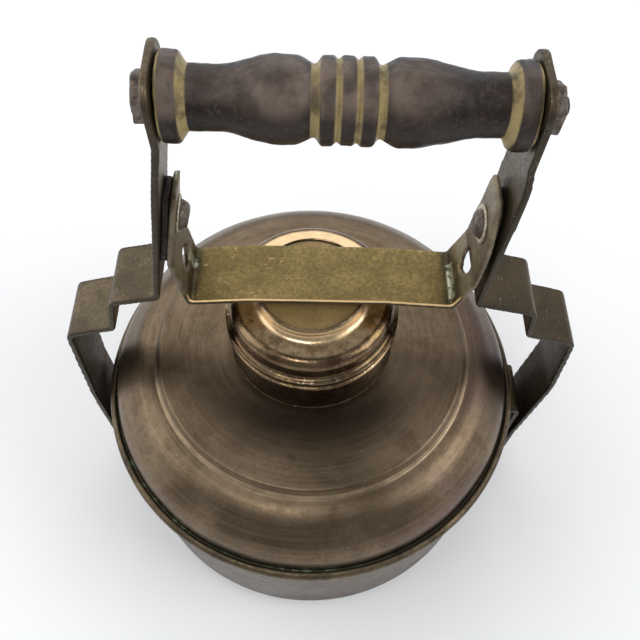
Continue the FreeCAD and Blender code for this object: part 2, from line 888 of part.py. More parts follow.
# ---------------------------------------------------------------------------------------------
# Pivots of the bail: an angle bracket on each side of the bowl, with a collared and headed pin
# ---------------------------------------------------------------------------------------------
def make_bracket(side):
    """Angle bracket: a ledge from the bowl's wall and a plate hanging down in front of it."""
    label = f"pivot_bracket_{side}"
    out = size(f"{side}_bracket_out")
    top = size("bracket_top")
    thickness = size("bracket_thickness")
    wall = size("bowl_radius")
    angle = free_sketch(f"{label}_path", [
        (wall - 4.0, top, 0),
        (out, top, size("bracket_bend") + thickness),
        (out, size("bracket_bottom"), 0),
        (out - thickness, size("bracket_bottom"), 0),
        (out - thickness, top - thickness, size("bracket_bend")),
        (wall - 4.0, top - thickness, 0),
    ], True, "XZ")
    blank = extruded(f"{label}_blank", angle, FreeCAD.Vector(0, 1, 0), size("bracket_width"))
    bowl = rod(f"{label}_saddle", wall, RIM_Z)
    hole = drill(f"{label}_hole", size("pivot_pin_radius"), "right", out, PIVOT_Z)
    bracket = cut_all(label, blank, [bowl, hole])
    if side == "left":
        bracket.Placement = HALF_TURN


def make_pivot_pin(side):
    """Pin riveted in the bracket: a collar keeps the leg off, and a head keeps it on."""
    radius = size("pivot_pin_radius")
    plate = size(f"{side}_bracket_out")
    tail = size("bracket_thickness")
    tail_end = tail + size("pin_tail")
    collar = size("collar_radius")
    collar_end = size(f"{side}_foot_out") - size("collar_gap") - plate
    seat = size(f"{side}_foot_out") + STRAP_T + size("pin_head_gap") - plate
    head = size("pin_head_radius")
    end = seat + size("pin_head_height")
    pin = turned(f"pivot_pin_{side}", [
        (ZERO, -tail_end, 0),
        (collar, -tail_end, 0.4),
        (collar, -tail, 0),
        (radius, -tail, 0),
        (radius, ZERO, 0),
        (collar, ZERO, 0),
        (collar, collar_end, 0.2),
        (radius, collar_end, 0),
        (radius, seat, 0),
        (head, seat, 0),
        (head * 0.72, end, 0.9),
        (ZERO, end, 0),
    ])
    on_side(pin, side, plate, PIVOT_Z)


make_bowl()
make_dome()
make_rim()
make_neck()
make_wick_parts()
make_cap()
make_crossbar()
make_bolt_and_nut()
make_grip()
for bail_side in ("left", "right"):
    make_strap(bail_side)
    make_ear_rivet(bail_side)
    make_ear_spacer(bail_side)
    make_bracket(bail_side)
    make_pivot_pin(bail_side)

# ---------------------------------------------------------------------------------------------
# Check every object, then write each piece
# ---------------------------------------------------------------------------------------------
doc.recompute()
faults = [item.Name for item in doc.Objects if {"Invalid", "Error"} & set(item.State)]
for node_name, node in NODES.items():
    if node.Shape.isNull() or not node.Shape.isValid() or not node.Shape.Solids:
        faults.append(node_name)
if faults:
    raise RuntimeError(f"failed: {faults}")

os.makedirs("parts", exist_ok=True)
for node_name, node in NODES.items():
    node.Shape.exportStep(f"parts/{node_name}.step")
    print(f"{node_name:20s} {node.Shape.Volume:10.1f} mm3  {len(node.Shape.Solids)} solid")
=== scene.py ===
"""Looks of the spirit burner: patinated spun reservoir, bright cap, strap bail and lacquered grip."""
import json
import math
import bpy
from mathutils import Matrix, Vector, noise


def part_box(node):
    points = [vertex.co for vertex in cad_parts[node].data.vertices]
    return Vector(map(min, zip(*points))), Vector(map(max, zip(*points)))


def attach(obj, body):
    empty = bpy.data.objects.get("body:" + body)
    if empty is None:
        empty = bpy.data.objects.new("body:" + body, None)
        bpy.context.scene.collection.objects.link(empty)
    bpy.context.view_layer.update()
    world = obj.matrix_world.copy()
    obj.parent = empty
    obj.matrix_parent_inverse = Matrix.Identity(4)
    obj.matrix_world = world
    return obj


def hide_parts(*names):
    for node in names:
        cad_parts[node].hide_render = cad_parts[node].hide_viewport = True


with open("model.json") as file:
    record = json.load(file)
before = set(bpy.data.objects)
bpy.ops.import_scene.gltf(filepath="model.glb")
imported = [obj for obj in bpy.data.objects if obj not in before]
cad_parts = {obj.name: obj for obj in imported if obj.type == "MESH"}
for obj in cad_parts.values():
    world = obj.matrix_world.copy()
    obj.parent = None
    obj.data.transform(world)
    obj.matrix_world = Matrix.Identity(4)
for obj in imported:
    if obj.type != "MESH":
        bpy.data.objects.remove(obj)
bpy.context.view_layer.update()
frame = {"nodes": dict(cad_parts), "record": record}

MM = 0.001
NODES = frame["nodes"]


# ---------------------------------------------------------------------------------------------
# Places and sizes read from the frame
# ---------------------------------------------------------------------------------------------
RIM_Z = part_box("reservoir_bowl")[1].z
BOWL_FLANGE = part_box("reservoir_bowl")[1].x
DOME_FOOT_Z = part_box("reservoir_dome")[0].z
CROWN_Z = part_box("reservoir_dome")[1].z
RIM_LOW, RIM_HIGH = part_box("rim_seam")
NECK_LOW, NECK_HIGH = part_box("filler_neck")
CAP_LOW, CAP_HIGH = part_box("cap_shell")
CROSS_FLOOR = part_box("crossbar")[0].z
FLANGE = 9.7 * MM
JOINTS = {joint["name"]: joint for joint in frame["record"]["behaviour"]["joints"]}
GRIP_AXIS = Vector(JOINTS["grip_turn"]["axis"]).normalized()
GRIP_LOW, GRIP_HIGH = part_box("grip")
GRIP_MIDDLE = (GRIP_LOW + GRIP_HIGH) / 2
GRIP_LENGTH = (GRIP_HIGH.x - GRIP_LOW.x - 2 * FLANGE * abs(GRIP_AXIS.z)) / GRIP_AXIS.x

# Centre and half width of each groove, measured from the grip's middle towards either end
GRIP_GROOVES = (
    (2.15 * MM, 0.50 * MM),
    (7.0 * MM, 0.80 * MM),
    (GRIP_LENGTH / 2 - 5.2 * MM, 0.7 * MM),
    (GRIP_LENGTH / 2, 0.5 * MM),
)
# Where the crossbar's ears turn up, and what is left there: centre and half size along X and Y
FOLDS = (-35.6 * MM, 41.2 * MM)
DEPOSITS = (
    (-35.0 * MM, 3.4 * MM, 0.7 * MM, 1.2 * MM),
    (41.0 * MM, -1.5 * MM, 0.4 * MM, 5.6 * MM),
)
# How far out along the direction that faces up and to the front the grip carries its painted highlight and
# hand rubbing
PALM_HIGHLIGHT = (5.6 * MM, 8.8 * MM)
# Radii and heights on the turned pieces where the finish changes, and where painted shade and painted
# highlights lie
RING_STEP = 54.5 * MM
CAP_SHADE = (49 * MM, 31 * MM)
RIGHT_FLANK = (56 * MM, 68 * MM)
COVE = 20.0 * MM
SHOULDER = 24.9 * MM
SKIRT = (121.6 * MM, 119.5 * MM)
DISC_RIM = (14.8 * MM, 16.2 * MM)
WICK_CHAR = (113.5 * MM, 115.5 * MM)
# Half depth of the sheet and strap, where the sheet's front edge gets a painted highlight and its front
# face painted shade, and where the strap's edges are darkened
SHEET_EDGE = 9.60 * MM
SHEET_FACE = (9.80 * MM, 9.93 * MM)
STRAP_EDGE = (8.9 * MM, 9.9 * MM)


# ---------------------------------------------------------------------------------------------
# Turned shapes: an outline of corners (radius, height, rounding) is spun about an axis
# ---------------------------------------------------------------------------------------------
def rounded_outline(corners, longest):
    """Points along a closed outline, with its corners rounded and its straight runs divided."""
    count = len(corners)
    runs = []
    for index, (x, y, radius) in enumerate(corners):
        here = Vector((x, y))
        if radius == 0:
            runs.append([here])
            continue
        before = (Vector(corners[index - 1][:2]) - here).normalized()
        after = (Vector(corners[(index + 1) % count][:2]) - here).normalized()
        half = before.angle(after) / 2
        centre = here + (before + after).normalized() * (radius / math.sin(half))
        first = here + before * (radius / math.tan(half)) - centre
        turn = math.pi - 2 * half
        if first.x * after.y - first.y * after.x < 0:
            turn = -turn
        steps = max(3, math.ceil(abs(turn) / math.radians(7)), math.ceil(abs(turn) * radius / longest))
        arc = []
        for step in range(steps + 1):
            angle = turn * step / steps
            cos, sin = math.cos(angle), math.sin(angle)
            arc.append(centre + Vector((first.x * cos - first.y * sin, first.x * sin + first.y * cos)))
        runs.append(arc)
    points = []
    for index, run in enumerate(runs):
        points.extend(run)
        start, end = run[-1], runs[(index + 1) % count][0]
        pieces = math.ceil((end - start).length / longest)
        points.extend(start.lerp(end, piece / pieces) for piece in range(1, pieces))
    return points


def lathe(name, corners, segments=240, longest=2.2 * MM, dent=0.0, dent_size=0.03, seed=0.0):
    """A closed mesh spun about Z. Points on the axis become single poles; dents follow the normal."""
    points = rounded_outline(corners, longest)
    count = len(points)
    vertices = []
    rings = []
    for index, point in enumerate(points):
        if point.x < 1e-6:
            rings.append([len(vertices)])
            vertices.append((0.0, 0.0, point.y))
            continue
        along = points[(index + 1) % count] - points[index - 1]
        normal = Vector((along.y, -along.x)).normalized()
        ring = []
        for segment in range(segments):
            angle = math.tau * segment / segments
            cos, sin = math.cos(angle), math.sin(angle)
            push = 0.0
            if dent:
                spot = Vector((point.x * cos, point.x * sin, point.y)) / dent_size
                push = dent * noise.noise(spot + Vector((seed, seed, seed)))
                push += dent * 0.35 * noise.noise(spot * 3.1 + Vector((seed, 0, seed)))
            radius = point.x + normal.x * push
            ring.append(len(vertices))
            vertices.append((radius * cos, radius * sin, point.y + normal.y * push))
        rings.append(ring)
    faces = []
    for index, ring in enumerate(rings):
        other = rings[(index + 1) % count]
        if len(ring) == 1 and len(other) == 1:
            continue
        for segment in range(segments):
            after = (segment + 1) % segments
            if len(ring) == 1:
                faces.append((ring[0], other[segment], other[after]))
            elif len(other) == 1:
                faces.append((ring[segment], other[0], ring[after]))
            else:
                faces.append((ring[segment], other[segment], other[after], ring[after]))
    return mesh_piece(name, vertices, faces)


def mesh_piece(name, vertices, faces):
    mesh = bpy.data.meshes.new(name)
    mesh.from_pydata(vertices, [], faces)
    mesh.update()
    piece = bpy.data.objects.new(name, mesh)
    bpy.context.scene.collection.objects.link(piece)
    for polygon in mesh.polygons:
        polygon.use_smooth = True
    crease = piece.modifiers.new("crease", "EDGE_SPLIT")
    crease.split_angle = math.radians(40)
    return piece


# ---------------------------------------------------------------------------------------------
# Materials
# ---------------------------------------------------------------------------------------------
class Finish:
    """A procedural material: small helpers that add nodes and return their output sockets."""

    def __init__(self, name, metallic, roughness):
        self.material = bpy.data.materials.new(name)
        self.material.use_nodes = True
        self.tree = self.material.node_tree
        self.shader = self.tree.nodes["Principled BSDF"]
        self.shader.inputs["Metallic"].default_value = metallic
        self.shader.inputs["Roughness"].default_value = roughness
        self.place = self.add("ShaderNodeTexCoord").outputs["Object"]
        split = self.add("ShaderNodeSeparateXYZ", Vector=self.place)
        self.x, self.y, self.z = split.outputs

    def add(self, kind, settings=(), **inputs):
        node = self.tree.nodes.new(kind)
        for key, value in settings:
            setattr(node, key, value)
        for key, value in inputs.items():
            self.feed(node.inputs[key.replace("_", " ")], value)
        return node

    def feed(self, socket, value):
        if isinstance(value, bpy.types.NodeSocket):
            self.tree.links.new(value, socket)
        else:
            socket.default_value = value

    def math(self, operation, first, second=0.0):
        node = self.add("ShaderNodeMath", [("operation", operation)])
        self.feed(node.inputs[0], first)
        self.feed(node.inputs[1], second)
        return node.outputs[0]

    def noise(self, scale, detail=3.0, roughness=0.55, distortion=0.0, where=None):
        """Noise with features about 1/scale metres across, from 0 to 1."""
        node = self.add("ShaderNodeTexNoise", Vector=where or self.place, Scale=scale, Detail=detail,
                        Roughness=roughness, Distortion=distortion)
        return node.outputs["Fac"]

    def cells(self, scale):
        """Distance from the nearest of many scattered points, about 1/scale metres apart."""
        node = self.add("ShaderNodeTexVoronoi", [("feature", "F1")], Vector=self.place, Scale=scale)
        return node.outputs["Distance"]

    def remap(self, value, low, high, to_low=0.0, to_high=1.0):
        node = self.add("ShaderNodeMapRange", [("interpolation_type", "SMOOTHSTEP")], Value=value)
        for key, number in (("From Min", low), ("From Max", high), ("To Min", to_low), ("To Max", to_high)):
            node.inputs[key].default_value = number
        return node.outputs["Result"]

    def band(self, value, centre, half_width, edge):
        """1 within a band about the centre, falling to 0 over the edge."""
        distance = self.math("ABSOLUTE", self.math("SUBTRACT", value, centre))
        return self.remap(distance, half_width, half_width + edge, 1.0, 0.0)

    def stretched(self, x, y, z):
        node = self.add("ShaderNodeVectorMath", [("operation", "MULTIPLY")])
        self.feed(node.inputs[0], self.place)
        node.inputs[1].default_value = (x, y, z)
        return node.outputs[0]

    def polar(self, around, height, turns):
        """Coordinates (radius, height, angle) of a turned piece, each with its own stretch."""
        angle = self.math("ARCTAN2", self.y, self.x)
        node = self.add("ShaderNodeCombineXYZ", X=self.math("MULTIPLY", self.radius(), around),
                        Y=self.math("MULTIPLY", self.z, height), Z=self.math("MULTIPLY", angle, turns))
        return node.outputs[0]

    def radius(self):
        flat = self.stretched(1, 1, 0)
        node = self.add("ShaderNodeVectorMath", [("operation", "LENGTH")])
        self.feed(node.inputs[0], flat)
        return node.outputs["Value"]

    def blend(self, amount, first, second):
        """Colour that goes from the first to the second as the amount goes from 0 to 1."""
        node = self.add("ShaderNodeMix", [("data_type", "RGBA"), ("blend_type", "MIX")])
        self.feed(node.inputs[0], amount)
        for socket, value in ((node.inputs[6], first), (node.inputs[7], second)):
            self.feed(socket, value if isinstance(value, bpy.types.NodeSocket) else (*value, 1.0))
        return node.outputs[2]

    def scratches(self, where, scale, width, broken_by):
        """Thin broken lines: the level lines of a stretched noise, cut short by another noise."""
        lines = self.noise(scale, 1.0, 0.4, 0.0, where)
        thin = self.band(lines, 0.5, width, width)
        return self.math("MULTIPLY", thin, broken_by)

    def bump(self, height, distance):
        """Normal tilted by a relief that is the given distance deep where the height is 1."""
        node = self.add("ShaderNodeBump", Height=height, Distance=distance, Strength=1.0)
        return node.outputs["Normal"]

    def finish(self, colour, roughness=None, normal=None):
        self.feed(self.shader.inputs["Base Color"], colour)
        if roughness is not None:
            self.feed(self.shader.inputs["Roughness"], roughness)
        if normal is not None:
            self.feed(self.shader.inputs["Normal"], normal)
        return self.material


def patinated_copper(name, verdigris_z):
    """Brown patina over spun copper: mottling, faint spinning rings, specks and green in the seam, with
    painted shade towards the foot, on the right flank and in front of the neck, and rubbing with a painted
    highlight on the ring step.
    """
    finish = Finish(name, 0.92, 0.40)
    broad = finish.noise(26, 4, 0.6, 0.5)
    fine = finish.noise(420, 4, 0.65)
    rings = finish.noise(1.0, 3, 0.6, 0.0, finish.polar(900, 900, 1.3))
    colour = finish.blend(finish.remap(broad, 0.36, 0.64), (0.116, 0.080, 0.047), (0.198, 0.142, 0.090))
    blotch = finish.remap(finish.noise(75, 4, 0.62, 0.8), 0.50, 0.68)
    colour = finish.blend(finish.math("MULTIPLY", blotch, 0.45), colour, (0.080, 0.050, 0.028))
    right = finish.remap(finish.x, 15 * MM, 55 * MM)
    below_crown = finish.remap(finish.z, 92 * MM, 84 * MM)
    reddish = finish.math("MULTIPLY", finish.remap(finish.noise(34, 3, 0.5, 0.8), 0.38, 0.62), right)
    reddish = finish.math("MULTIPLY", reddish, below_crown)
    colour = finish.blend(finish.math("MULTIPLY", reddish, 0.75), colour, (0.150, 0.088, 0.082))
    colour = finish.blend(finish.remap(fine, 0.35, 0.75, 0.0, 0.35), colour, (0.062, 0.044, 0.028))
    colour = finish.blend(finish.remap(rings, 0.40, 0.72, 0.0, 0.30), colour, (0.25, 0.19, 0.125))
    specks = finish.remap(finish.noise(2300, 1, 0.5), 0.69, 0.75)
    colour = finish.blend(finish.math("MULTIPLY", specks, 0.5), colour, (0.42, 0.36, 0.27))
    # Painted shade: the bowl darkens below the rim and more towards the foot.
    bowl = finish.remap(finish.z, 60 * MM, 50 * MM, 0.0, 0.5)
    foot = finish.remap(finish.z, 45 * MM, 6 * MM, 0.0, 0.85)
    colour = finish.blend(finish.math("MAXIMUM", bowl, foot), colour, (0.040, 0.027, 0.018))
    # Painted shade on the right flank, away from the front.
    behind_front = finish.remap(finish.y, -35 * MM, -15 * MM)
    right_flank_painted_shade = finish.math("MULTIPLY", finish.remap(finish.x, *RIGHT_FLANK), behind_front)
    colour = finish.blend(finish.math("MULTIPLY", right_flank_painted_shade, 0.75), colour, (0.045, 0.030, 0.020))
    # Painted shade on the crown in front of the neck.
    neck_front_painted_shade = finish.math("MULTIPLY", finish.remap(finish.radius(), *CAP_SHADE, 0.0, 0.95),
                            finish.remap(finish.y, -12 * MM, -30 * MM))
    colour = finish.blend(neck_front_painted_shade, colour, (0.030, 0.019, 0.012))
    # Rubbing with a painted highlight along the ring step.
    step = finish.band(finish.radius(), RING_STEP, 0.30 * MM, 0.45 * MM)
    rub_and_highlight = finish.math("MULTIPLY", step, finish.remap(finish.noise(120, 3), 0.30, 0.60, 0.35, 0.95))
    rub_and_highlight = finish.math("MULTIPLY", rub_and_highlight, finish.remap(finish.z, 80 * MM, 84 * MM))
    colour = finish.blend(rub_and_highlight, colour, (0.42, 0.31, 0.20))
    seam = finish.band(finish.z, verdigris_z, 1.0 * MM, 1.2 * MM)
    front_left = finish.remap(finish.math("ADD", finish.x, finish.y), -45 * MM, -85 * MM)
    front_left = finish.remap(front_left, 0, 1, 0.12, 0.9)
    crust = finish.remap(finish.noise(210, 4, 0.7), 0.50, 0.62)
    crust = finish.math("MULTIPLY", finish.math("MULTIPLY", seam, crust), front_left)
    colour = finish.blend(finish.math("MULTIPLY", seam, 0.85), colour, (0.040, 0.038, 0.024))
    colour = finish.blend(crust, colour, (0.19, 0.24, 0.15))
    mixed = finish.math("ADD", finish.math("MULTIPLY", broad, 0.6), finish.math("MULTIPLY", fine, 0.4))
    roughness = finish.remap(mixed, 0.3, 0.7, 0.32, 0.47)
    relief = finish.math("ADD", finish.math("MULTIPLY", rings, 0.5), finish.math("MULTIPLY", fine, 0.5))
    normal = finish.bump(relief, 0.05 * MM)
    return finish.finish(colour, roughness, normal)


def cap_metal(name, shade, gloss):
    """Handled brown brass: glossy, stained in blotches, with spinning rings and small scratches; a painted
    highlight in the cove, painted shade on the shoulder and skirt, and a shade factor below 1 that darkens
    every tone as painted shade.
    """
    finish = Finish(name, 1.0, 0.2)

    # The shade factor scales every tone; below 1 it is painted shade over the whole piece.
    def tone(red, green, blue):
        return (red * shade, green * shade, blue * shade)

    broad = finish.noise(75, 4, 0.6, 0.8)
    rings = finish.noise(1.0, 2, 0.5, 0.0, finish.polar(1500, 1500, 0.8))
    colour = finish.blend(finish.remap(broad, 0.38, 0.60), tone(0.17, 0.115, 0.062), tone(0.42, 0.31, 0.18))
    reddish = finish.remap(finish.noise(60, 4, 0.6, 0.7), 0.50, 0.62)
    colour = finish.blend(finish.math("MULTIPLY", reddish, 0.7), colour, tone(0.17, 0.085, 0.048))
    stain = finish.remap(finish.noise(130, 5, 0.7, 1.0), 0.50, 0.64)
    colour = finish.blend(finish.math("MULTIPLY", stain, 0.75), colour, tone(0.050, 0.030, 0.018))
    gold = finish.remap(finish.noise(95, 3, 0.6, 0.5), 0.58, 0.68)
    colour = finish.blend(finish.math("MULTIPLY", gold, 0.6), colour, tone(0.55, 0.36, 0.13))
    colour = finish.blend(finish.remap(rings, 0.45, 0.75, 0.0, 0.35), colour, tone(0.10, 0.07, 0.045))
    # Painted highlight: the cove band is paler and a little rougher.
    cove = finish.band(finish.radius(), COVE, 2.6 * MM, 1.2 * MM)
    colour = finish.blend(finish.math("MULTIPLY", cove, 0.8), colour, tone(0.75, 0.54, 0.31))
    # Painted shade: the cap darkens below its shoulder.
    skirt = finish.remap(finish.z, *SKIRT)
    colour = finish.blend(finish.math("MULTIPLY", skirt, 0.6), colour, tone(0.10, 0.066, 0.038))
    # Painted shade: a darker band round the shoulder.
    shoulder = finish.band(finish.radius(), SHOULDER, 1.2 * MM, 0.8 * MM)
    colour = finish.blend(finish.math("MULTIPLY", shoulder, 0.65), colour, tone(0.085, 0.052, 0.028))
    broken = finish.remap(finish.noise(300, 2), 0.56, 0.62)
    marks = finish.scratches(finish.stretched(1, 0.35, 1), 420, 0.005, broken)
    colour = finish.blend(finish.math("MULTIPLY", marks, 0.8), colour, (0.55, 0.46, 0.34))
    roughness = finish.remap(finish.noise(260, 4, 0.65), 0.3, 0.7, gloss, gloss + 0.18)
    roughness = finish.math("ADD", roughness, finish.math("MULTIPLY", cove, 0.08))
    relief = finish.math("ADD", finish.math("MULTIPLY", rings, 0.6), finish.noise(700, 3))
    normal = finish.bump(relief, 0.05 * MM)
    return finish.finish(colour, roughness, normal)


def olive_brass(name, low_z, folds):
    """Unpolished olive sheet: speckled, scratched, with a painted highlight along its front edge, painted
    shade on its front face and in its folds, and brown-grey ears.
    """
    finish = Finish(name, 0.72, 0.46)
    broad = finish.noise(60, 4, 0.6, 0.5)
    speckle = finish.noise(900, 4, 0.7)
    colour = finish.blend(finish.remap(broad, 0.35, 0.65), (0.225, 0.160, 0.052), (0.325, 0.237, 0.083))
    colour = finish.blend(finish.remap(speckle, 0.35, 0.62, 0.0, 0.55), colour, (0.110, 0.084, 0.034))
    warm = finish.remap(finish.noise(1300, 2, 0.5), 0.60, 0.70)
    front = finish.remap(finish.y, 2 * MM, -9 * MM)
    colour = finish.blend(finish.math("MULTIPLY", warm, finish.remap(front, 0, 1, 0.2, 0.8)), colour,
                          (0.42, 0.25, 0.10))
    broken = finish.remap(finish.noise(150, 2), 0.56, 0.62)
    left = finish.remap(finish.x, 12 * MM, -12 * MM, 0.15, 1.0)
    along = finish.scratches(finish.stretched(1, 7, 7), 120, 0.010, finish.math("MULTIPLY", broken, left))
    colour = finish.blend(along, colour, (0.62, 0.43, 0.19))
    risen = finish.remap(finish.z, low_z + 5 * MM, low_z + 9 * MM)
    # The upturned ears take a brown-grey tone of their own.
    ear_tone = finish.blend(finish.remap(finish.noise(150, 4, 0.65), 0.35, 0.65), (0.135, 0.105, 0.067),
                        (0.250, 0.203, 0.136))
    colour = finish.blend(risen, colour, ear_tone)
    # Painted shade in each fold, broken up by noise and weaker on the ears.
    for fold in folds:
        dark = finish.band(finish.x, fold, 0.8 * MM, 3.2 * MM)
        dark = finish.math("MULTIPLY", dark, finish.remap(finish.noise(180, 3), 0.3, 0.6, 0.4, 0.85))
        colour = finish.blend(finish.math("MULTIPLY", dark, finish.remap(risen, 0, 1, 1, 0.3)), colour,
                              (0.030, 0.026, 0.015))
    for out, across, half_width, half_length in DEPOSITS:
        spot = finish.math("MULTIPLY", finish.band(finish.x, out, half_width, 0.6 * MM),
                           finish.band(finish.y, across, half_length, 0.9 * MM))
        spot = finish.math("MULTIPLY", spot, finish.remap(finish.noise(420, 4, 0.7), 0.40, 0.52))
        colour = finish.blend(spot, colour, (0.42, 0.42, 0.30))
    level = finish.remap(finish.z, low_z + 7 * MM, low_z + 5 * MM)
    # Painted highlight: a bright line along the bar's front edge.
    edge = finish.math("MULTIPLY", finish.band(finish.y, -SHEET_EDGE, 0.20 * MM, 0.15 * MM), level)
    colour = finish.blend(finish.math("MULTIPLY", edge, 0.9), colour, (0.85, 0.60, 0.30))
    # Painted shade on the bar's front face, below its bright edge.
    face = finish.math("MULTIPLY", finish.remap(finish.y, -SHEET_FACE[0], -SHEET_FACE[1]), level)
    colour = finish.blend(face, colour, (0.055, 0.042, 0.026))
    roughness = finish.remap(speckle, 0.3, 0.7, 0.36, 0.55)
    normal = finish.bump(finish.math("SUBTRACT", speckle, finish.math("MULTIPLY", along, 0.8)), 0.06 * MM)
    return finish.finish(colour, roughness, normal)


def disc_brass(name):
    """Flat olive disc of the cap, finely pitted and a little warmer than the crossbar, with painted shade
    round its edge.
    """
    finish = Finish(name, 0.35, 0.55)
    broad = finish.noise(110, 4, 0.6, 0.5)
    speckle = finish.noise(1200, 4, 0.7)
    colour = finish.blend(finish.remap(broad, 0.35, 0.65), (0.30, 0.200, 0.072), (0.42, 0.285, 0.110))
    colour = finish.blend(finish.remap(speckle, 0.35, 0.62, 0.0, 0.5), colour, (0.20, 0.135, 0.052))
    # Painted shade round the disc's edge, where it sits below the cap's rim.
    rim = finish.remap(finish.radius(), *DISC_RIM)
    colour = finish.blend(finish.math("MULTIPLY", rim, 0.6), colour, (0.11, 0.078, 0.036))
    roughness = finish.remap(speckle, 0.3, 0.7, 0.4, 0.6)
    return finish.finish(colour, roughness, finish.bump(speckle, 0.06 * MM))


def strap_metal(name):
    """Olive-brown tarnished strip: fine grain, darker edges, painted shade towards the right and a few
    scratches.
    """
    finish = Finish(name, 0.8, 0.45)
    broad = finish.noise(45, 4, 0.6, 0.5)
    grain = finish.noise(1100, 4, 0.7)
    colour = finish.blend(finish.remap(broad, 0.34, 0.66), (0.082, 0.061, 0.036), (0.152, 0.113, 0.068))
    colour = finish.blend(finish.remap(grain, 0.35, 0.65, 0.0, 0.45), colour, (0.058, 0.044, 0.027))
    # Painted shade: the strap darkens towards the right.
    right_side_painted_shade = finish.remap(finish.x, -20 * MM, 20 * MM)
    colour = finish.blend(finish.math("MULTIPLY", right_side_painted_shade, 0.45), colour, (0.052, 0.037, 0.020))
    tarnish = finish.remap(finish.noise(110, 4, 0.7, 0.8), 0.54, 0.68)
    colour = finish.blend(finish.math("MULTIPLY", tarnish, 0.55), colour, (0.048, 0.044, 0.028))
    edge = finish.remap(finish.math("ABSOLUTE", finish.y), *STRAP_EDGE)
    colour = finish.blend(finish.math("MULTIPLY", edge, 0.7), colour, (0.030, 0.026, 0.018))
    broken = finish.remap(finish.noise(120, 2), 0.56, 0.62)
    marks = finish.scratches(finish.stretched(3, 1, 1), 240, 0.005, broken)
    colour = finish.blend(finish.math("MULTIPLY", marks, 0.5), colour, (0.36, 0.30, 0.20))
    roughness = finish.remap(grain, 0.3, 0.7, 0.34, 0.55)
    normal = finish.bump(grain, 0.05 * MM)
    return finish.finish(colour, roughness, normal)


def browned_steel(name, dark, light):
    """Old steel fastener: brown oxide, pitted, paler where it is rubbed."""
    finish = Finish(name, 0.75, 0.5)
    broad = finish.noise(330, 4, 0.65, 0.4)
    pits = finish.noise(1500, 3, 0.7)
    colour = finish.blend(finish.remap(broad, 0.35, 0.65), dark, light)
    colour = finish.blend(finish.remap(pits, 0.5, 0.7, 0.0, 0.6), colour, (0.035, 0.026, 0.02))
    roughness = finish.remap(pits, 0.3, 0.7, 0.38, 0.62)
    normal = finish.bump(finish.math("ADD", broad, pits), 0.12 * MM)
    return finish.finish(colour, roughness, normal)


def seam_brass(name):
    """Dull rolled rim: mottled dark brown bead, with a little crust inside."""
    finish = Finish(name, 0.85, 0.40)
    broad = finish.noise(60, 4, 0.6, 0.5)
    fine = finish.noise(700, 4, 0.7)
    colour = finish.blend(finish.remap(broad, 0.35, 0.65), (0.060, 0.043, 0.026), (0.155, 0.115, 0.068))
    colour = finish.blend(finish.remap(fine, 0.4, 0.7, 0.0, 0.5), colour, (0.040, 0.030, 0.018))
    inner = finish.remap(finish.radius(), RIM_HIGH.x - 1.4 * MM, RIM_HIGH.x - 2.3 * MM)
    crust = finish.math("MULTIPLY", inner, finish.remap(finish.noise(240, 4, 0.7), 0.56, 0.66))
    front_left = finish.remap(finish.math("ADD", finish.x, finish.y), -40 * MM, -85 * MM, 0.1, 0.9)
    crust = finish.math("MULTIPLY", crust, front_left)
    colour = finish.blend(finish.math("MULTIPLY", inner, 0.7), colour, (0.035, 0.033, 0.022))
    colour = finish.blend(crust, colour, (0.17, 0.22, 0.13))
    roughness = finish.remap(fine, 0.3, 0.7, 0.32, 0.55)
    normal = finish.bump(fine, 0.08 * MM)
    return finish.finish(colour, roughness, normal)


